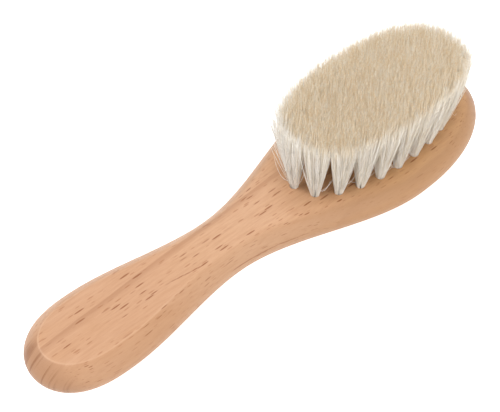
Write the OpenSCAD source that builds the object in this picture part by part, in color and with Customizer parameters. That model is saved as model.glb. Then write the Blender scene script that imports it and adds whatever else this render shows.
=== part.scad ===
// Wooden-backed clothes brush with soft goat hair, lying on its back, bristles up.
// The back is one piece of wood: a handle, a neck and a wide head in a single flowing outline.
// Each tuft of hair is folded over a flat wire anchor and driven into a blind hole in the head.
// +X runs towards the tip of the head, +Y across the brush and +Z up through the hair.
// The origin is on the flat back, at the middle of the brush's length and width.

/* [Wood body] */
// Whole length of the brush
body_length = 170; // [155:1:185]
// Thickness of the wood
body_thickness = 12; // [11:0.5:16]
// Greatest width of the handle
handle_width = 30.3; // [26:0.1:34]
// Width of the neck, between handle and head
neck_width = 19.6; // [17:0.1:24]
// Greatest width of the head
head_width = 48; // [46:0.5:56]
// Widest place of the handle, as a share of the length from the handle's end
handle_place = 0.134; // [0.11:0.002:0.18]
// Narrowest place of the neck, as a share of the length
neck_place = 0.392; // [0.36:0.002:0.42]
// Widest place of the head, as a share of the length
head_place = 0.748; // [0.72:0.002:0.77]
// Fullness of the handle's end, where 2 is an ellipse
handle_fullness = 2.6; // [2:0.1:3]
// Fullness of the head's tip, where 2 is an ellipse
tip_fullness = 2.2; // [2:0.1:3]
// How far the rounded sides draw in, from mid-thickness to the flat faces
side_draw = 4.8; // [2:0.1:5]

/* [Hair field] */
// Middle of the hair field along X, from the middle of the brush
field_x = 42.2; // [41.8:0.1:42.6]
// Middle of the hair field along Y, from the middle of the brush
field_y = -1.1; // [-1.5:0.1:-0.7]
// Half length of the outer ring of tufts
field_half_length = 31.7; // [31.7:0.1:32.1]
// Half width of the outer ring of tufts
field_half_width = 14.2; // [14.2:0.1:14.5]
// Fullness of the outer ring, where 2 is an ellipse
field_fullness = 2.06; // [2.05:0.01:2.15]
// Half length of the inner ring of tufts
inner_half_length = 24.7; // [24.6:0.05:24.8]
// Half width of the inner ring of tufts
inner_half_width = 7; // [6.95:0.05:7.05]
// Half length of the middle row of tufts
middle_half_length = 14; // [13.8:0.1:14.1]
// Tufts in the outer ring
outer_count = 21; // [16:1:21]
// Place of the outer ring's first tuft, in spaces between tufts round from the tip end
outer_start = 0.4; // [0.35:0.05:0.45]
// Tufts in the inner ring
inner_count = 14; // [10:1:14]
// Tufts in the middle row
middle_count = 5; // [3:1:5]

/* [Tufts] */
// Height of the trimmed hair above the wood
hair_height = 23; // [16:0.5:28]
// Height above the wood at which a tuft is fully spread
spread_height = 15; // [9:0.5:15]
// Width of a tuft once it is spread
tuft_width = 6.3; // [5:0.1:6.5]
// Width of a tuft at the mouth of its hole and inside it
shank_width = 2.7; // [2.3:0.1:2.7]

/* [Holes and anchors] */
// Bore of a tuft hole
hole_bore = 2.8; // [2.8:0.1:3]
// Depth of the straight part of a tuft hole
hole_depth = 7.5; // [6:0.5:8]
// Depth of the drill point below the straight part
drill_point = 0.8; // [0.4:0.1:1]
// Length of a flat wire anchor, which bites into the wood on both sides of its hole
anchor_length = 3.6; // [3.4:0.1:4]
// Turn of the anchors away from the brush's length
anchor_turn = 45; // [40:1:50]
// Thickness of the anchor wire
anchor_thickness = 0.4; // [0.3:0.05:0.5]
// Height of the anchor wire
anchor_height = 1.6; // [1:0.1:2]
// Height of the fold of hair that lies under an anchor
fold_height = 1.1; // [0.8:0.1:1.5]

/* [Hidden] */
// Names of the separate pieces

// Places along the wood where its outline is widest and narrowest
handle_x = body_length * handle_place;
neck_x = body_length * neck_place;
head_x = body_length * head_place;
// Steps along each side of the outline, and up the rounded side
outline_steps = 64;
side_steps = 12;
// Steps used to measure the way round a ring of tufts
ring_steps = 720;
// Steps in the curve of a spreading tuft, and its rounded top rim
flare_steps = 6;
top_rim = 0.9;
// Clear space between a tuft and the anchor that grips it, and under its fold
tuft_gap = 0.05;
// Overshoot of the cutting solids beyond the faces that they cut
cut_over = 1;

// ---- Outline of the wood ----

// Smooth step from 0 to 1
function blend(u) = u * u * (3 - 2 * u);

// Rounded end: 1 where it begins, 0 at its tip
function rounded_end(u, fullness) = sqrt(max(0, 1 - pow(u, fullness)));

// Value between two widths
function between(low, high, u) = low + (high - low) * blend(u);

// Width of the wood at a distance from the handle's end
function wood_width(x) =
    x < handle_x ? handle_width * rounded_end(1 - x / handle_x, handle_fullness)
    : x < neck_x ? between(handle_width, neck_width, (x - handle_x) / (neck_x - handle_x))
    : x < head_x ? between(neck_width, head_width, (x - neck_x) / (head_x - neck_x))
    : head_width * rounded_end((x - head_x) / (body_length - head_x), tip_fullness);

// Point i of the near side of the outline, where steps crowd towards both ends
function side_point(i) =
    let (x = body_length * (1 - cos(180 * i / outline_steps)) / 2)
    [x - body_length / 2, -wood_width(x) / 2];

// Outward direction of the outline at point i of the near side
function side_normal(i) =
    i == 0 ? [-1, 0]
    : i == outline_steps ? [1, 0]
    : let (d = side_point(i + 1) - side_point(i - 1))
      [d.y, -d.x] / norm(d);

// Near side of the outline, drawn in by a distance
function near_side(draw) =
    [for (i = [0:outline_steps]) side_point(i) - draw * side_normal(i)];

// Whole outline, drawn in by a distance: the near side, then its mirror image back to the start
function outline(draw) =
    let (near = near_side(draw))
    [
        for (p = near) p,
        for (i = [outline_steps - 1:-1:1]) [near[i].x, -near[i].y]
    ];

// ---- Places of the tufts ----

// Point at an angle on a ring of some half length, half width and fullness
function ring_point(size, fullness, angle) =
    let (c = cos(angle), s = sin(angle), p = 2 / fullness)
    [size.x * sign(c) * pow(abs(c), p), size.y * sign(s) * pow(abs(s), p)];

// Table of distance round a ring against angle
function ring_table(size, fullness) = [
    for (
        i = 0, travel = 0;
        i <= ring_steps;
        i = i + 1,
        travel = travel + norm(
            ring_point(size, fullness, 360 * i / ring_steps)
            - ring_point(size, fullness, 360 * (i - 1) / ring_steps)
        )
    ) [travel, 360 * i / ring_steps]
];

// Tufts spaced evenly round a ring, starting some share of a space from its tip end
function ring_places(size, fullness, count, start) =
    let (table = ring_table(size, fullness), whole = table[ring_steps][0])
    [
        for (i = [0:count - 1])
        [field_x, field_y]
        + ring_point(size, fullness, lookup(whole * (i + start) / count, table))
    ];

outer_places = ring_places(
    [field_half_length, field_half_width], field_fullness, outer_count, outer_start
);
inner_places = ring_places([inner_half_length, inner_half_width], 2, inner_count, 0);
middle_places = [
    for (i = [0:middle_count - 1])
    [field_x + middle_half_length * (2 * i / (middle_count - 1) - 1), field_y]
];

// ---- Wood ----

// Solid blank: flat back, flat face and sides rounded to a parabola
module wood_blank() {
    around = 2 * outline_steps;
    points = [
        for (k = [0:side_steps])
        let (s = 2 * k / side_steps - 1)
        for (p = outline(side_draw * s * s))
        [p.x, p.y, body_thickness * k / side_steps]
    ];
    top = side_steps * around;
    sides = [
        for (k = [0:side_steps - 1], j = [0:around - 1])
        let (a = k * around + j, b = k * around + (j + 1) % around)
        each [[a, b + around, b], [a, a + around, b + around]]
    ];
    // The flat faces are strips between one side of the outline and the other
    strips = [
        for (i = [0:outline_steps - 1])
        let (far = (around - i) % around, far_next = around - i - 1)
        each [
            if (i > 0) [i, far_next, far],
            if (i < outline_steps - 1) [i, i + 1, far_next]
        ]
    ];
    back = strips;
    face = [for (t = strips) [t[0] + top, t[2] + top, t[1] + top]];
    polyhedron(points = points, faces = [each sides, each back, each face], convexity = 4);
}

// Blind hole with its drill point, for one tuft
module tuft_hole() {
    translate([0, 0, -hole_depth])
        cylinder(h = hole_depth + cut_over, d = hole_bore, $fn = 32);
    translate([0, 0, -hole_depth - drill_point])
        cylinder(h = drill_point, d1 = 0.2, d2 = hole_bore, $fn = 32);
}

// Flat wire anchor, across the hole and standing on the fold of hair
module anchor(grow = 0) {
    rotate([0, 0, anchor_turn])
        translate([
            -anchor_length / 2 - grow,
            -anchor_thickness / 2 - grow,
            -hole_depth + fold_height - grow
        ])
            cube([anchor_length + 2 * grow, anchor_thickness + 2 * grow, anchor_height + 2 * grow]);
}

// Puts its children at each place, level with the face of the wood
module at_places(places) {
    for (p = places)
        translate([p.x, p.y, body_thickness])
            children();
}

module wood_body() {
    color("BurlyWood")
        difference() {
            wood_blank();
            at_places([each outer_places, each inner_places, each middle_places]) {
                tuft_hole();
                anchor();
            }
        }
}

// ---- Hair ----

// Half outline of a tuft: shank, spreading flare and trimmed top with a rounded rim
function tuft_profile() =
    let (shank = shank_width / 2, spread = tuft_width / 2)
    [
        [0, -hole_depth + tuft_gap],
        [shank * 0.8, -hole_depth + tuft_gap],
        [shank, -hole_depth + tuft_gap + shank * 0.3],
        for (i = [0:flare_steps])
        let (u = i / flare_steps)
        [shank + (spread - shank) * sin(90 * u), spread_height * u],
        [spread, hair_height - top_rim],
        [spread - top_rim, hair_height],
        [0, hair_height]
    ];

// One tuft, folded round its anchor
module tuft(place) {
    color("AntiqueWhite")
        at_places([place])
            difference() {
                rotate_extrude($fn = 32)
                    polygon(tuft_profile());
                anchor(tuft_gap);
            }
}

// ---- Anchors ----

// The anchors of one ring or row
module anchors(places) {
    color("Silver")
        at_places(places)
            anchor();
}

// ---- Pieces ----

wood_body();
for (i = [1:outer_count])
    tuft(outer_places[i - 1]);
for (i = [1:inner_count])
    tuft(inner_places[i - 1]);
for (i = [1:middle_count])
    tuft(middle_places[i - 1]);
anchors(outer_places);  // anchors_outer
anchors(inner_places);  // anchors_inner
anchors(middle_places);  // anchors_middle
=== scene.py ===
# A wooden clothes brush with soft goat hair, lying on its back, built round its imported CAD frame.

import math

import bmesh
import bpy
import numpy as np
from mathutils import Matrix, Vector
from mathutils.noise import noise as noise_at


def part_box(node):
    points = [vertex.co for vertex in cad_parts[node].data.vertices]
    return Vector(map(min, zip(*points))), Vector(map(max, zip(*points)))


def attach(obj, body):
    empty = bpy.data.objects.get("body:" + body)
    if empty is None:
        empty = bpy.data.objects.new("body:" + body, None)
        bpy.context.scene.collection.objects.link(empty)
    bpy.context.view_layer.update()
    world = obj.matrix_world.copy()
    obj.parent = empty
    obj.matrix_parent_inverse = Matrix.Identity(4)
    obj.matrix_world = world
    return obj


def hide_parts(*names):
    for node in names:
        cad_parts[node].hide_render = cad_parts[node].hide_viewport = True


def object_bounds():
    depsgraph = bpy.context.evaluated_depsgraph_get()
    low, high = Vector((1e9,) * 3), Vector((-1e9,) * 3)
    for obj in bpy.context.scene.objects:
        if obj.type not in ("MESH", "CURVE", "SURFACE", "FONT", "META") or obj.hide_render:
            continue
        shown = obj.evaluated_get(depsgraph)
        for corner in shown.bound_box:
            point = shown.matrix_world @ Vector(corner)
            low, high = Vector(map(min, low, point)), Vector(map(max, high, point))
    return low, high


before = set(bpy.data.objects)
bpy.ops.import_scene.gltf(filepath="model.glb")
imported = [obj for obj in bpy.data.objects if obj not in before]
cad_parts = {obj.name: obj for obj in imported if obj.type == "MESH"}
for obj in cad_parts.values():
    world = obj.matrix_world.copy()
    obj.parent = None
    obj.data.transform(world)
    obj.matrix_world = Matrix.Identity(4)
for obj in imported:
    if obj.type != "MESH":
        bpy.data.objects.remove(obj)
cad_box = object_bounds()
MM = 0.001

# Camera: which way it looks, how far off it stands and what it looks at
CAMERA_AZIMUTH = math.radians(-41.44)
CAMERA_ELEVATION = math.radians(49.95)
CAMERA_DISTANCE = 365.5 * MM
CAMERA_AIM = Vector((-0.4, 7.2, 4.3)) * MM
CAMERA_LENS = 86.8

# Wood outline: widths, and places as shares of the length from the handle's end
HANDLE_WIDTH = 30.3 * MM
NECK_WIDTH = 19.6 * MM
HANDLE_PLACE = 0.134
NECK_PLACE = 0.392
HEAD_PLACE = 0.748
HANDLE_FULLNESS = 2.6
TIP_FULLNESS = 2.2
OUTLINE_STEPS = 180

# Wood edges: how far the sides draw in, and the sanded edge, which is softer on the head
SIDE_DRAW = 4.8 * MM
HANDLE_EDGE = 0.7 * MM
HEAD_EDGE = 2.6 * MM
EDGE_GROWS_FROM = -45 * MM
EDGE_GROWS_TO = -5 * MM
SIDE_STEPS = 22
EDGE_STEPS = 5
FLAT_MARGIN = 0.3 * MM

# Grain: how far it drifts across the wood
GRAIN_DRIFT = 1.6 * MM

# Growth rings: where one meets the middle of the face, its slope along the grain, and the next one
RING_PLACE = 6.9 * MM
RING_SLOPE = 0.05
RING_SPACING = 24 * MM

# Spans along the wood: where it turns paler and the painted crease highlight fades away, where it turns
# warmer again, and where the painted shade on its sides grows
PALE_FROM = (-50 * MM, -20 * MM)
WARM_FROM = (-5 * MM, 40 * MM)
SIDE_SHADE_FROM = (-30 * MM, 20 * MM)

# Two fine dark lines: one on the flat of the handle, and one on the near side of the neck
CRACK_PLACE = -9.2 * MM
CRACK_SLOPE = -0.13
CRACK_SPAN = (-42 * MM, -28 * MM)
SEAM_HEIGHT = 7.2 * MM
SEAM_SPAN = (-23 * MM, 4 * MM)
SEAM_ACROSS = (-4 * MM, -6 * MM)
LINE_WANDER = 1.6 * MM
LINE_CLEAR = 0.22 * MM
LINE_CORE = 0.08 * MM
LINE_FADE = 2 * MM

# Wood colours, linear
WOOD_PALE = (0.56, 0.32, 0.19, 1)
WOOD_DEEP = (0.53, 0.29, 0.158, 1)
WOOD_NECK = (0.64, 0.40, 0.25, 1)
WOOD_HEAD = (0.55, 0.305, 0.12, 1)
WOOD_FIBRE = (0.40, 0.19, 0.09, 1)
WOOD_RING = (0.35, 0.16, 0.075, 1)
# Painted shade for the sides that turn down from the top
SIDE_SHADE = (0.40, 0.21, 0.10, 1)
# Painted highlight along the crease
CREASE_HIGHLIGHT = (0.74, 0.50, 0.34, 1)
SMALL_FLECK = (0.32, 0.115, 0.04, 1)
LONG_FLECK = (0.24, 0.075, 0.022, 1)
END_PALE = (0.43, 0.23, 0.13, 1)
END_DARK = (0.25, 0.10, 0.045, 1)

# Tuft holes
HOLE_RADIUS = 1.4 * MM
HOLE_DEPTH = 7.5 * MM
FOLD_ABOVE_HOLE_END = 0.3 * MM

# Hair top: how the tips fill the oval, how it rounds off, and how uneven the tips are
HAIR_SEED = 7
TIP_SPACING = 0.28 * MM
TIP_JITTER = 0.3
TIP_LEAN = np.array([0.9, 0.6]) * MM
TOP_SPREAD = np.array([2.6, 3.7]) * MM
TOP_FULLNESS = 2.4
TOP_ROUNDING = 1.5 * MM
ROUNDS_FROM = 0.8
CLUMP_SIZE = 1.1 * MM
CLUMP_SHIFT = 0.22 * MM
UNEVEN_SIZE = 2.4 * MM
UNEVEN_HEIGHT = 0.3 * MM
TIP_SCATTER = 0.4 * MM

# Rim of the hair: where it begins, its wisps, and its single hairs that reach further out
RIM_FROM = 0.83
WISP_SIZE = 1.2 * MM
WISP_LENGTH = 1.4 * MM
STRAY_REACH = 0.65 * MM
STRAY_LIMIT = 3 * MM
RIM_RISE = 0.5
HANDLE_END_LOOSENESS = 0.7

# Painted backlight on the rim of the hair: where it begins, how it wavers and blends, and how much of it
# the near side loses
BACKLIT_RIM = 0.9
BACKLIT_WAVER = 0.06
BACKLIT_WAVER_SIZE = 0.9 * MM
BACKLIT_BLEND = 0.08
BACKLIT_LOSS = 0.6

# Strands: their thickness, the disc that they leave the hole in, and their course up to the tip
STRAND_RADIUS = 0.05 * MM
STRAND_SPREAD = (0.75, 1.25)
ROOT_RADIUS = 1.37 * MM
PARTINGS = (0.03, 0.2)
FOLD_PARTING = 0.4
OPEN_HEIGHT = 20.5 * MM
OPEN_POWER = 1.1
STRAND_BEND = 0.1 * MM
STRAND_WAVES = (1, 2.4)
WIRE_TURN = math.radians(45)
WIRE_SIDE = np.array([-math.sin(WIRE_TURN), math.cos(WIRE_TURN)])
STRAND_SHARES = np.array([0.0, 0.2, 0.42, 0.64, 0.84, 1.0])
STRAND_TAPER = np.array([0.9, 0.95, 1.0, 1.0, 0.9, 0.3])
FOLD_TAPER = 0.8

# The long loose hair beside the tuft at the handle end: where it leaves the tuft, its bend and its tip
STRAY_HEIGHT = 3 * MM
STRAY_BEND = np.array([-4.5, 0.4, 2.5]) * MM
STRAY_TIP = np.array([-5.8, 1.5, 14.0]) * MM

# Studio: softboxes as (name, direction, size, watts), and the sky's strength from below and above
SOFTBOX_DISTANCE = 0.9
SOFTBOXES = (
    ("key", (-0.6, 0.55, 0.9), 0.6, 2.5),
    ("overhead", (0.15, 0.2, 1.0), 0.3, 1.0),
    ("fill", (-0.1, -1.0, 0.55), 0.7, 3.0),
)
SKY_BELOW = 0.96
SKY_ABOVE = 0.91


def smooth_step(u):
    """A smooth step from 0 to 1 as u goes from 0 to 1."""
    u = np.clip(u, 0.0, 1.0)
    return u * u * (3 - 2 * u)


def arc(start, bend, end, t):
    """Points at shares t of an arc from start to end, pulled towards its bend."""
    return (1 - t) ** 2 * start + 2 * t * (1 - t) * bend + t * t * end


# ---- Pieces and materials ----


def add_piece(name, mesh, stands_for, material):
    """A finished mesh as a piece that rides on the brush and stands for a CAD node."""
    piece = bpy.data.objects.new(name, mesh)
    bpy.context.scene.collection.objects.link(piece)
    mesh.materials.append(material)
    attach(piece, "root")
    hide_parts(stands_for)
    return piece


def new_material(name):
    """An empty node material with its Principled shader, as (material, node tree, shader)."""
    material = bpy.data.materials.new(name)
    material.use_nodes = True
    tree = material.node_tree
    tree.nodes.clear()
    shader = tree.nodes.new("ShaderNodeBsdfPrincipled")
    output = tree.nodes.new("ShaderNodeOutputMaterial")
    tree.links.new(shader.outputs["BSDF"], output.inputs["Surface"])
    return material, tree, shader


def add_node(tree, kind, inputs, **settings):
    """A node with its settings and inputs, where an input is a value or another node's socket."""
    node = tree.nodes.new(kind)
    for name, value in settings.items():
        setattr(node, name, value)
    for name, value in inputs.items():
        if isinstance(value, bpy.types.NodeSocket):
            tree.links.new(value, node.inputs[name])
        else:
            node.inputs[name].default_value = value
    return node


def math_node(tree, operation, a, b=0.0, c=0.0):
    """The result of a maths node on values or sockets."""
    return add_node(tree, "ShaderNodeMath", {0: a, 1: b, 2: c}, operation=operation).outputs[0]


def ramp(tree, value, low, high, out_low=0.0, out_high=1.0):
    """A smooth step of value from low to high, as out_low to out_high."""
    node = add_node(
        tree,
        "ShaderNodeMapRange",
        {"Value": value, "From Min": low, "From Max": high, "To Min": out_low, "To Max": out_high},
        interpolation_type="SMOOTHSTEP",
    )
    return node.outputs["Result"]


def mix_colour(tree, factor, a, b):
    """Colour a at factor 0 and colour b at factor 1."""
    node = tree.nodes.new("ShaderNodeMix")
    node.data_type = "RGBA"
    for socket, value in ((node.inputs[0], factor), (node.inputs[6], a), (node.inputs[7], b)):
        if isinstance(value, bpy.types.NodeSocket):
            tree.links.new(value, socket)
        else:
            socket.default_value = value
    return node.outputs[2]


def painted(tree, colour, where, strength, paint):
    """The colour with paint over it, at some strength, where a mask is 1."""
    return mix_colour(tree, math_node(tree, "MULTIPLY", where, strength), colour, paint)


def stretched(tree, coords, scale):
    """Coordinates counted in cells of these sizes in millimetres."""
    per_metre = [1 / (size * MM) for size in scale]
    node = add_node(tree, "ShaderNodeVectorMath", {0: coords, 1: per_metre}, operation="MULTIPLY")
    return node.outputs[0]


def noise(tree, coords, detail=2.0, roughness=0.5):
    """Cloudy noise, about 0 to 1, in the cells that the coordinates count."""
    inputs = {"Vector": coords, "Scale": 1.0, "Detail": detail, "Roughness": roughness}
    return add_node(tree, "ShaderNodeTexNoise", inputs).outputs["Fac"]


def wandering(tree, value, reach):
    """Noise as a distance either way of nothing, where reach is its whole range."""
    return math_node(tree, "MULTIPLY", math_node(tree, "SUBTRACT", value, 0.5), reach)


def flecks(tree, coords, cell, radius, share):
    """Short dark dashes along the grain: a share of the cells holds one, and each has its own strength."""
    cells = add_node(tree, "ShaderNodeTexVoronoi", {"Vector": stretched(tree, coords, cell), "Scale": 1.0})
    strength = add_node(tree, "ShaderNodeSeparateColor", {"Color": cells.outputs["Color"]}).outputs["Red"]
    there = ramp(tree, strength, 1 - share, 1 - share * 0.4)
    inside = ramp(tree, cells.outputs["Distance"], radius, radius * 0.65)
    return math_node(tree, "MULTIPLY", there, inside)


def hairline(tree, along, off, span):
    """A fine dark line in the wood over a span along it, where off is the distance from the line."""
    near = ramp(tree, math_node(tree, "ABSOLUTE", off), LINE_CLEAR, LINE_CORE)
    begun = ramp(tree, along, span[0], span[0] + LINE_FADE)
    unfinished = ramp(tree, along, span[1], span[1] - LINE_FADE)
    return math_node(tree, "MULTIPLY", near, math_node(tree, "MULTIPLY", begun, unfinished))


def growth_ring(tree, along, across):
    """The dark band of each growth ring, crisp on one side and fading on the other, gone on the head."""
    middle = math_node(tree, "MULTIPLY_ADD", along, RING_SLOPE, RING_PLACE)
    inward = math_node(tree, "SUBTRACT", middle, across)
    place = math_node(tree, "FRACT", math_node(tree, "DIVIDE", inward, RING_SPACING))
    band = math_node(tree, "MULTIPLY", ramp(tree, place, 0.13, 0.015), ramp(tree, place, 0.0, 0.015))
    return math_node(tree, "MULTIPLY", band, ramp(tree, along, *WARM_FROM, 1, 0))


def fine_lines(tree, along, across, up, fibre):
    """The dark line on the flat of the handle, and the one on the near side of the neck."""
    wander = wandering(tree, fibre, LINE_WANDER)
    crack = math_node(tree, "ADD", across, wander)
    crack = math_node(tree, "MULTIPLY_ADD", along, -CRACK_SLOPE, crack)
    crack = hairline(tree, along, math_node(tree, "SUBTRACT", crack, CRACK_PLACE), CRACK_SPAN)
    seam = math_node(tree, "ADD", math_node(tree, "SUBTRACT", up, SEAM_HEIGHT), wander)
    seam = hairline(tree, along, seam, SEAM_SPAN)
    seam = math_node(tree, "MULTIPLY", seam, ramp(tree, across, *SEAM_ACROSS))
    return math_node(tree, "MAXIMUM", crack, seam)


def by_facing(tree, colour, grain, along):
    """The wood's colour with its end grain, painted shade on its sides and a painted highlight along the
    crease round its face.
    """
    normal = tree.nodes.new("ShaderNodeNewGeometry").outputs["Normal"]
    facing = add_node(tree, "ShaderNodeSeparateXYZ", {0: normal})
    end_grain = ramp(tree, math_node(tree, "ABSOLUTE", facing.outputs["X"]), 0.3, 0.65)
    end_lines = noise(tree, stretched(tree, grain, (60, 1.9, 40)), detail=3, roughness=0.6)
    end_colour = mix_colour(tree, ramp(tree, end_lines, 0.48, 0.62), END_PALE, END_DARK)
    colour = painted(tree, colour, end_grain, 0.9, end_colour)

    upward = facing.outputs["Z"]
    # Painted shade: faces that turn down from the top are darkened, more so towards the head
    side = ramp(tree, upward, 0.96, 0.8)
    colour = painted(tree, colour, side, ramp(tree, along, *SIDE_SHADE_FROM, 0.25, 0.65), SIDE_SHADE)
    # Painted highlight: a pale band where the face turns down at the crease, fading away before the neck
    off_crease = math_node(tree, "ABSOLUTE", math_node(tree, "SUBTRACT", upward, 0.93))
    painted_crease_highlight = ramp(tree, off_crease, 0.06, 0.0)
    return painted(tree, colour, painted_crease_highlight, ramp(tree, along, *PALE_FROM, 0.2, 0.0), CREASE_HIGHLIGHT)


def beech_material():
    """Pale steamed beech: fine grain, short dark ray flecks, growth rings and darker end grain."""
    material, tree, shader = new_material("beech_wood")
    place = tree.nodes.new("ShaderNodeTexCoord").outputs["Object"]
    drift = noise(tree, stretched(tree, place, (30, 30, 30)), detail=1)
    apart = add_node(tree, "ShaderNodeSeparateXYZ", {0: place})
    along, up = apart.outputs["X"], apart.outputs["Z"]
    across = math_node(tree, "ADD", apart.outputs["Y"], wandering(tree, drift, GRAIN_DRIFT))
    grain = add_node(tree, "ShaderNodeCombineXYZ", {"X": along, "Y": across, "Z": up}).outputs[0]

    cloud = noise(tree, stretched(tree, grain, (38, 7, 7)), detail=3)
    fibre = noise(tree, stretched(tree, grain, (9, 0.8, 0.8)), detail=5, roughness=0.75)
    long_flecks = flecks(tree, grain, (9, 1.3, 0.5), 0.23, 0.85)
    small_flecks = flecks(tree, grain, (4.5, 0.85, 0.4), 0.28, 0.7)

    colour = mix_colour(tree, ramp(tree, cloud, 0.3, 0.72), WOOD_PALE, WOOD_DEEP)
    neck = ramp(tree, along, *PALE_FROM)
    colour = painted(tree, colour, neck, ramp(tree, along, *WARM_FROM, 0.4, 0), WOOD_NECK)
    colour = mix_colour(tree, ramp(tree, along, *WARM_FROM, 0.0, 0.6), colour, WOOD_HEAD)
    colour = mix_colour(tree, ramp(tree, fibre, 0.35, 0.75, 0.0, 0.45), colour, WOOD_FIBRE)
    colour = painted(tree, colour, growth_ring(tree, along, across), 0.5, WOOD_RING)
    colour = painted(tree, colour, small_flecks, 0.5, SMALL_FLECK)
    colour = painted(tree, colour, long_flecks, 0.78, LONG_FLECK)
    colour = painted(tree, colour, fine_lines(tree, along, across, up, fibre), 0.7, LONG_FLECK)
    colour = by_facing(tree, colour, grain, along)
    tree.links.new(colour, shader.inputs["Base Color"])

    tree.links.new(ramp(tree, fibre, 0.25, 0.8, 0.38, 0.52), shader.inputs["Roughness"])
    shader.inputs["Specular IOR Level"].default_value = 0.35
    height = math_node(tree, "SUBTRACT", math_node(tree, "MULTIPLY", fibre, -0.5), long_flecks)
    bump = add_node(tree, "ShaderNodeBump", {"Strength": 0.25, "Distance": 0.06 * MM, "Height": height})
    tree.links.new(bump.outputs[0], shader.inputs["Normal"])
    return material


def hair_material():
    """Undyed goat hair: cream to white strands of uneven tone, tan towards their cut tips, with painted
    backlight in the tone that pales the rim.
    """
    material, tree, shader = new_material("goat_hair")
    place = tree.nodes.new("ShaderNodeTexCoord").outputs["Object"]
    tone = add_node(tree, "ShaderNodeAttribute", {}, attribute_name="tone").outputs["Fac"]
    reach = add_node(tree, "ShaderNodeAttribute", {}, attribute_name="reach").outputs["Fac"]
    patch = noise(tree, stretched(tree, place, (3.5, 3.5, 9)), detail=3, roughness=0.6)
    streak = noise(tree, stretched(tree, place, (0.5, 0.5, 6)), detail=2)
    speck = noise(tree, stretched(tree, place, (0.5, 0.5, 0.6)), detail=1)

    mixed = math_node(tree, "ADD", tone, math_node(tree, "SUBTRACT", patch, 0.5))
    specked = math_node(tree, "MULTIPLY_ADD", math_node(tree, "SUBTRACT", speck, 0.5), 3.4, mixed)
    body = mix_colour(tree, ramp(tree, mixed, 0.0, 1.4), (1.0, 0.925, 0.79, 1), (1.0, 0.975, 0.93, 1))
    tip = mix_colour(tree, ramp(tree, specked, 0.1, 0.9), (0.78, 0.61, 0.385, 1), (0.93, 0.87, 0.75, 1))
    colour = mix_colour(tree, ramp(tree, reach, 0.72, 1.0), body, tip)
    colour = mix_colour(tree, ramp(tree, streak, 0.55, 0.8, 0.0, 0.15), colour, (0.86, 0.76, 0.60, 1))
    tree.links.new(colour, shader.inputs["Base Color"])

    tree.links.new(ramp(tree, streak, 0.2, 0.8, 0.42, 0.6), shader.inputs["Roughness"])
    scales = noise(tree, stretched(tree, place, (0.15, 0.15, 0.5)), detail=2)
    bump = add_node(tree, "ShaderNodeBump", {"Strength": 0.2, "Distance": 0.02 * MM, "Height": scales})
    tree.links.new(bump.outputs[0], shader.inputs["Normal"])
    shader.inputs["Specular IOR Level"].default_value = 0.3
    return material


def wire_material():
    """Flattened tinned wire, faintly drawn along its length."""
    material, tree, shader = new_material("anchor_wire")
    place = tree.nodes.new("ShaderNodeTexCoord").outputs["Object"]
    drawn = noise(tree, stretched(tree, place, (0.2, 3, 0.05)), detail=3)
    colour = mix_colour(tree, drawn, (0.48, 0.47, 0.45, 1), (0.68, 0.67, 0.64, 1))
    tree.links.new(colour, shader.inputs["Base Color"])
    tree.links.new(ramp(tree, drawn, 0.2, 0.8, 0.25, 0.45), shader.inputs["Roughness"])
    shader.inputs["Metallic"].default_value = 1.0
    return material


# ---- Wood ----


def wood_width(x, length, head_width):
    """Width of the wood at distances from the handle's end."""
    handle_x, neck_x, head_x = length * HANDLE_PLACE, length * NECK_PLACE, length * HEAD_PLACE
    handle_end = np.sqrt(1 - np.clip(1 - x / handle_x, 0, 1) ** HANDLE_FULLNESS)
    tip = np.sqrt(1 - np.clip((x - head_x) / (length - head_x), 0, 1) ** TIP_FULLNESS)
    to_neck = smooth_step((x - handle_x) / (neck_x - handle_x))
    to_head = smooth_step((x - neck_x) / (head_x - neck_x))
    handle = HANDLE_WIDTH * handle_end + (NECK_WIDTH - HANDLE_WIDTH) * to_neck
    return (handle + (head_width - NECK_WIDTH) * to_head) * tip


def near_side(length, head_width):
    """Points and outward directions of the near side of the outline, crowded towards both ends."""
    angle = np.linspace(0, np.pi, OUTLINE_STEPS + 1)
    x = length * (1 - np.cos(angle)) / 2
    points = np.stack([x - length / 2, -wood_width(x, length, head_width) / 2], axis=1)
    along = np.zeros_like(points)
    along[1:-1] = points[2:] - points[:-2]
    along[0], along[-1] = (0, -1), (0, 1)
    outward = np.stack([along[:, 1], -along[:, 0]], axis=1)
    return points, outward / np.linalg.norm(outward, axis=1, keepdims=True)


def side_profile(edge, thickness):
    """(how far in, how high) from the flat back, round the side and onto the flat face."""
    slope = math.hypot(2 * SIDE_DRAW, thickness / 2)
    last = 1 - edge / slope
    shares = np.linspace(0, last, SIDE_STEPS // 2 + 1)
    side = [(SIDE_DRAW * s * s, thickness / 2 * (1 + s)) for s in shares]
    start = np.array(side[-1])
    corner = np.array([SIDE_DRAW, thickness])
    end = np.array([SIDE_DRAW + edge, thickness])
    for t in np.linspace(0, 1, EDGE_STEPS + 1)[1:]:
        side.append(tuple(arc(start, corner, end, t)))
    side.append((SIDE_DRAW + edge + FLAT_MARGIN, thickness))
    lower = [(draw, thickness - z) for draw, z in reversed(side[1:])]
    return np.array(lower + side)


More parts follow.
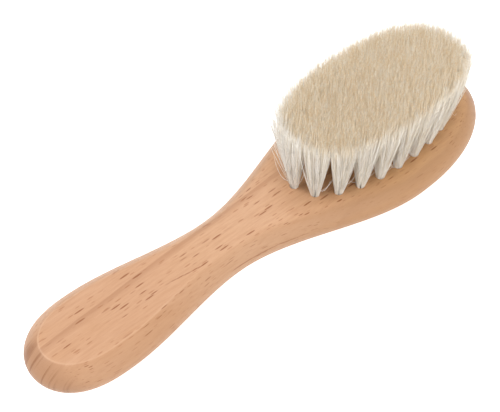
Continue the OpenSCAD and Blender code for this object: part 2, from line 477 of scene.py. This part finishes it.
def wood_blank(low, high):
    """The wood before drilling, as a mesh of loops from the back to the face."""
    length, head_width, thickness = high - low
    points, outward = near_side(length, head_width)
    grown = smooth_step((points[:, 0] - EDGE_GROWS_FROM) / (EDGE_GROWS_TO - EDGE_GROWS_FROM))
    edges = HANDLE_EDGE + (HEAD_EDGE - HANDLE_EDGE) * grown
    profiles = np.array([side_profile(edge, thickness) for edge in edges])
    loops = []
    for k in range(profiles.shape[1]):
        near = points - outward * profiles[:, k, :1]
        level = np.column_stack([near, profiles[:, k, 1] + low.z])
        far = level[-2:0:-1] * (1, -1, 1)
        loops.append(np.vstack([level, far]))
    around = len(loops[0])
    faces = []
    for k in range(len(loops) - 1):
        for j in range(around):
            a, b = k * around + j, k * around + (j + 1) % around
            faces.append((a, b, b + around, a + around))
    face = (len(loops) - 1) * around
    for i in range(OUTLINE_STEPS):
        strip = [i, i + 1, around - i - 1, (around - i) % around]
        strip = [v for n, v in enumerate(strip) if v not in strip[:n]]
        faces.append([v + face for v in strip])
        faces.append(strip[::-1])
    mesh = bpy.data.meshes.new("wood_blank")
    mesh.from_pydata(np.vstack(loops).tolist(), [], faces)
    mesh.validate()
    return mesh


def drilled(blank, places, face_z):
    """The blank with a blind hole drilled at each place."""
    drills = bmesh.new()
    for x, y in places:
        hole = bmesh.ops.create_cone(
            drills,
            cap_ends=True,
            segments=40,
            radius1=HOLE_RADIUS,
            radius2=HOLE_RADIUS,
            depth=2 * HOLE_DEPTH,
        )
        bmesh.ops.translate(drills, verts=hole["verts"], vec=(x, y, face_z))
    cutter_mesh = bpy.data.meshes.new("drills")
    drills.to_mesh(cutter_mesh)
    drills.free()
    cutter = bpy.data.objects.new("drills", cutter_mesh)
    wood = bpy.data.objects.new("blank", blank)
    for each in (cutter, wood):
        bpy.context.scene.collection.objects.link(each)
    cut = wood.modifiers.new("holes", "BOOLEAN")
    cut.operation, cut.solver, cut.object = "DIFFERENCE", "EXACT", cutter
    graph = bpy.context.evaluated_depsgraph_get()
    mesh = bpy.data.meshes.new_from_object(wood.evaluated_get(graph))
    for each in (cutter, wood):
        bpy.data.objects.remove(each)
    mesh.shade_smooth()
    mesh.set_sharp_from_angle(angle=math.radians(38))
    return mesh


# ---- Hair ----


def lumpy(spots, size, layer):
    """Smooth random numbers, about -1 to 1, whose lumps over the brush are of this size."""
    return np.array([noise_at((x / size, y / size, layer * 7.3)) for x, y in spots])


def tubes(name, paths, radii, tones, reach):
    """A mesh of closed three-sided tubes along paths, with a tone for each and a reach for each point."""
    count, rings, _ = paths.shape
    along = np.gradient(paths, axis=1)
    along /= np.linalg.norm(along, axis=2, keepdims=True)
    first = np.cross(along, (1.0, 0.3, 0.0))
    first /= np.linalg.norm(first, axis=2, keepdims=True)
    second = np.cross(along, first)
    corners = []
    for angle in (0, 2 * math.pi / 3, 4 * math.pi / 3):
        turned = first * math.cos(angle) + second * math.sin(angle)
        corners.append(paths + turned * radii[:, :, None])
    points = np.stack(corners, axis=2).reshape(-1, 3)

    start = (np.arange(count) * rings * 3)[:, None, None]
    level = (np.arange(rings - 1) * 3)[None, :, None]
    corner = np.arange(3)[None, None, :]
    after = (corner + 1) % 3
    base = start + level
    quads = np.stack([base + corner, base + after, base + after + 3, base + corner + 3], axis=3)
    quads = quads.reshape(-1, 4)
    ends = start[:, 0] + np.array([0, 2, 1])
    tips = start[:, 0] + 3 * (rings - 1) + np.array([0, 1, 2])
    mesh = bpy.data.meshes.new(name)
    mesh.from_pydata(points.tolist(), [], quads.tolist() + ends.tolist() + tips.tolist())
    mesh.shade_smooth()
    at_points = {"tone": np.repeat(tones, rings * 3), "reach": np.repeat(reach.ravel(), 3)}
    for name, values in at_points.items():
        attribute = mesh.attributes.new(name, "FLOAT", "POINT")
        attribute.data.foreach_set("value", values.astype(np.float32))
    return mesh


class HairTop:
    """The oval, slightly rounded top that the clipped tips make together."""

    def __init__(self, boxes, chance):
        self.names = list(boxes)
        self.centres = np.array([((low + high) / 2)[:2] for low, high in boxes.values()])
        low, high = self.centres.min(axis=0), self.centres.max(axis=0)
        self.middle = (low + high) / 2 + TIP_LEAN
        self.half = (high - low) / 2 + TOP_SPREAD
        self.level = max(high.z for _, high in boxes.values())
        self.tips = self.scatter(chance)
        distance = np.linalg.norm(self.tips[:, None] - self.centres[None], axis=2)
        self.owner = distance.argmin(axis=1)

    def share(self, spots):
        """How far out on the top these spots are: 0 in the middle and 1 on its edge."""
        apart = np.abs(spots - self.middle) / self.half
        return np.sum(apart**TOP_FULLNESS, axis=1) ** (1 / TOP_FULLNESS)

    def scatter(self, chance):
        """Places of all the tips, evenly scattered and a little clumped."""
        low, high = self.middle - self.half, self.middle + self.half
        x = np.arange(low[0], high[0], TIP_SPACING)
        y = np.arange(low[1], high[1], TIP_SPACING * math.sqrt(3) / 2)
        spots = np.stack(np.meshgrid(x, y), axis=-1)
        spots[1::2, :, 0] += TIP_SPACING / 2
        spots = spots.reshape(-1, 2)
        spots += chance.normal(0, TIP_JITTER * TIP_SPACING, spots.shape)
        clumping = np.column_stack([lumpy(spots, CLUMP_SIZE, layer) for layer in (1, 2)])
        spots += CLUMP_SHIFT * clumping
        return spots[self.share(spots) < 1]

    def heights(self, spots, chance):
        """Heights of the tips at these spots."""
        outer = np.clip((self.share(spots) - ROUNDS_FROM) / (1 - ROUNDS_FROM), 0, 1)
        rounding = TOP_ROUNDING * outer**2
        uneven = UNEVEN_HEIGHT * lumpy(spots, UNEVEN_SIZE, 3) + chance.normal(0, TIP_SCATTER, len(spots))
        return self.level - rounding + uneven


def rim_reach(tips, share, outward, chance):
    """How far each tip reaches past the trimmed outline: nothing inside the rim, wisps and hairs on it."""
    at_rim = smooth_step((share - RIM_FROM) / (1 - RIM_FROM))
    loose = 1 + HANDLE_END_LOOSENESS * smooth_step(-outward[:, 0] * 2 - 1)
    wisp = WISP_LENGTH * np.clip(lumpy(tips, WISP_SIZE, 5), 0, 1)
    stray = chance.exponential(STRAY_REACH, len(tips)).clip(0, STRAY_LIMIT)
    return at_rim * loose * (wisp + stray)


def strand_roots(tips, parting):
    """Places of the strands at the hole's mouth and at the wire, which parts them to its two sides."""
    aside = tips - tips.mean(axis=0)
    order = np.linalg.norm(aside, axis=1).argsort().argsort()
    angle = np.arctan2(aside[:, 1], aside[:, 0])
    radius = ROOT_RADIUS * np.sqrt((order + 0.5) / len(tips))
    disc = np.column_stack([radius * np.cos(angle), radius * np.sin(angle)])
    off_wire = disc @ WIRE_SIDE
    side = np.where(off_wire < 0, -1.0, 1.0)
    mouth = disc + np.outer(side * parting - off_wire * parting / ROOT_RADIUS, WIRE_SIDE)
    deep = disc + np.outer(side * FOLD_PARTING * MM - off_wire * FOLD_PARTING, WIRE_SIDE)
    return mouth, deep


def strand_tones(tips, painted_backlight, chance):
    """A lightness for each strand, in lumps of two sizes, and lighter where backlight is painted on the
    rim.
    """
    lumps = 0.3 * lumpy(tips, 1.6 * MM, 4) + 0.3 * lumpy(tips, 0.7 * MM, 6)
    return 0.5 + lumps + chance.normal(0, 0.3, len(tips)) + 0.7 * painted_backlight


def tuft_strands(top, number, face_z, parting, chance):
    """Paths, tones and reach of one tuft's strands: straight sided cones that close up above the wood."""
    centre = top.centres[number]
    tips = top.tips[top.owner == number]
    share = top.share(tips)
    height = top.heights(tips, chance) - face_z
    count = len(tips)
    outward = (tips - top.middle) / top.half
    outward /= np.linalg.norm(outward, axis=1, keepdims=True)
    past = rim_reach(tips, share, outward, chance)
    reached = tips + outward * past[:, None]
    height += RIM_RISE * past
    mouth, deep = strand_roots(tips, parting)

    rise = STRAND_SHARES[None, :] * height[:, None]
    opened = (1 - (1 - np.clip(rise / OPEN_HEIGHT, 0, 1)) ** OPEN_POWER)[:, :, None]
    bend = chance.normal(0, STRAND_BEND, (count, 1, 2))
    turns = chance.uniform(*STRAND_WAVES, (count, 1, 1))
    wave = bend * np.sin(math.pi * STRAND_SHARES[None, :, None] * turns)
    across = (centre + mouth)[:, None] + (reached - centre - mouth)[:, None] * opened + wave
    paths = np.concatenate([across, (face_z + rise)[:, :, None]], axis=2)
    fold_z = face_z - HOLE_DEPTH + FOLD_ABOVE_HOLE_END
    bottom = np.column_stack([centre + deep, np.full(count, fold_z)])
    paths = np.concatenate([bottom[:, None], paths], axis=1)

    # Painted backlight: rim strands, less so on the near side, get lighter tones and shorter tan tips
    waver = BACKLIT_WAVER * lumpy(tips, BACKLIT_WAVER_SIZE, 8)
    painted_backlight = smooth_step((share - BACKLIT_RIM + waver) / BACKLIT_BLEND)
    painted_backlight *= 1 - BACKLIT_LOSS * smooth_step(-outward[:, 1] * 1.5)
    tones = strand_tones(tips, painted_backlight, chance)
    reach = np.append(0.0, STRAND_SHARES)[None] * (1 - 0.3 * painted_backlight)[:, None]
    return paths, tones, reach


def crossing_hair(start, outward, across, chance):
    """Start, bend and tip of a thin arc from one tuft across to the next."""
    swing = across * 2.5 * MM + outward * chance.uniform(0, 1.0) * MM
    bend = start + np.append(swing, chance.uniform(-0.5, 1.5) * MM)
    tip = start + np.append(across * chance.uniform(3.5, 5) * MM, chance.uniform(3, 9) * MM)
    return start, bend, tip


def loose_hairs(top, number, face_z, chance):
    """Hairs that have slipped out of an outer tuft: arcs to the next one, and one long stray."""
    centre = top.centres[number]
    outward = (centre - top.middle) / top.half
    if np.linalg.norm(outward) < 0.7:
        return None
    outward /= np.linalg.norm(outward)
    sideways = np.array([-outward[1], outward[0]])
    t = np.linspace(0, 1, len(STRAND_SHARES) + 1)[:, None]
    paths = []
    for _ in range(chance.integers(1, 4)):
        across = chance.choice((-1.0, 1.0)) * sideways
        low = chance.uniform(1, 5) * MM
        start = np.append(centre + ROOT_RADIUS * (0.7 * outward + across), face_z + low)
        paths.append(arc(*crossing_hair(start, outward, across, chance), t))
    if number == top.centres[:, 0].argmin():
        start = np.append(centre + ROOT_RADIUS * outward, face_z + STRAY_HEIGHT)
        paths.append(arc(start, start + STRAY_BEND, start + STRAY_TIP, t))
    return np.array(paths)


def tuft_mesh(name, top, number, face_z, chance):
    """All the strands of one tuft, with the loose hairs beside it, as a mesh."""
    parting = chance.uniform(*PARTINGS) * MM
    paths, tones, reach = tuft_strands(top, number, face_z, parting, chance)
    loose = loose_hairs(top, number, face_z, chance)
    if loose is not None:
        paths = np.concatenate([paths, loose])
        tones = np.append(tones, np.full(len(loose), 1.0))
        reach = np.concatenate([reach, np.zeros(loose.shape[:2])])
    taper = np.append(FOLD_TAPER, STRAND_TAPER)[None]
    thickness = chance.uniform(*STRAND_SPREAD, (len(paths), 1)) * STRAND_RADIUS * taper
    return tubes(name, paths, thickness, tones, reach)


# ---- Studio ----


def add_camera():
    """The camera that the picture is taken with."""
    camera = bpy.data.objects.new("camera", bpy.data.cameras.new("camera"))
    bpy.context.scene.collection.objects.link(camera)
    flat = math.cos(CAMERA_ELEVATION)
    level_x = math.sin(CAMERA_AZIMUTH) * flat
    level_y = -math.cos(CAMERA_AZIMUTH) * flat
    back = Vector((level_x, level_y, math.sin(CAMERA_ELEVATION)))
    camera.location = CAMERA_AIM + back * CAMERA_DISTANCE
    camera.rotation_mode = "QUATERNION"
    camera.rotation_quaternion = (-back).to_track_quat("-Z", "Y")
    camera.data.lens = CAMERA_LENS
    camera.data.clip_start = 0.01
    bpy.context.scene.camera = camera


def add_floor():
    """A wide white sweep that the brush lies on, bright enough to lose all but its closest shadow."""
    mesh = bpy.data.meshes.new("floor")
    mesh.from_pydata([(-3, -3, 0), (3, -3, 0), (3, 3, 0), (-3, 3, 0)], [], [(0, 1, 2, 3)])
    floor = bpy.data.objects.new("floor", mesh)
    bpy.context.scene.collection.objects.link(floor)
    floor.location.z = cad_box[0].z - 0.05 * MM
    material, tree, shader = new_material("floor_white")
    shader.inputs["Base Color"].default_value = (0.92, 0.92, 0.92, 1)
    shader.inputs["Roughness"].default_value = 0.9
    shader.inputs["Emission Color"].default_value = (1, 1, 1, 1)
    shader.inputs["Emission Strength"].default_value = 0.7
    mesh.materials.append(material)
    floor.visible_diffuse = False


def add_softbox(name, direction, size, watts):
    """A square softbox that faces the brush from a direction."""
    light = bpy.data.objects.new(name, bpy.data.lights.new(name, "AREA"))
    bpy.context.scene.collection.objects.link(light)
    towards = Vector(direction).normalized()
    light.location = towards * SOFTBOX_DISTANCE
    light.rotation_mode = "QUATERNION"
    light.rotation_quaternion = towards.to_track_quat("Z", "Y")
    light.data.size = size
    light.data.energy = watts


def add_sky(below, above):
    """White light from all round, with one strength from below and another from above."""
    world = bpy.data.worlds.new("studio")
    world.use_nodes = True
    tree = world.node_tree
    way = tree.nodes.new("ShaderNodeTexCoord").outputs["Generated"]
    height = add_node(tree, "ShaderNodeSeparateXYZ", {0: way}).outputs["Z"]
    strength = ramp(tree, height, -0.3, 0.3, below, above)
    background = tree.nodes["Background"]
    background.inputs["Color"].default_value = (1, 1, 1, 1)
    tree.links.new(strength, background.inputs["Strength"])
    bpy.context.scene.world = world


# ---- The brush ----

add_camera()

node_boxes = {name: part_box(name) for name in sorted(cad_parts)}
tuft_boxes = {name: span for name, span in node_boxes.items() if name.startswith("tuft_")}
wood_low, wood_high = node_boxes["wood_body"]
top = HairTop(tuft_boxes, np.random.default_rng(HAIR_SEED))

wood_mesh = drilled(wood_blank(wood_low, wood_high), top.centres, wood_high.z)
wood_mesh.name = "wood_back"
add_piece("wood_back", wood_mesh, "wood_body", beech_material())

hair = hair_material()
for number, node in enumerate(top.names):
    chance = np.random.default_rng([HAIR_SEED, number])
    mesh = tuft_mesh(node + "_hair", top, number, wood_high.z, chance)
    add_piece(node + "_hair", mesh, node, hair)

wire = wire_material()
for node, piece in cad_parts.items():
    if node.startswith("anchors_"):
        piece.data.materials.clear()
        piece.data.materials.append(wire)

add_floor()
for softbox in SOFTBOXES:
    add_softbox(*softbox)
add_sky(SKY_BELOW, SKY_ABOVE)
bpy.context.scene.cycles.diffuse_bounces = 20
bpy.context.scene.cycles.max_bounces = 24
bpy.context.scene.view_settings.view_transform = "Standard"
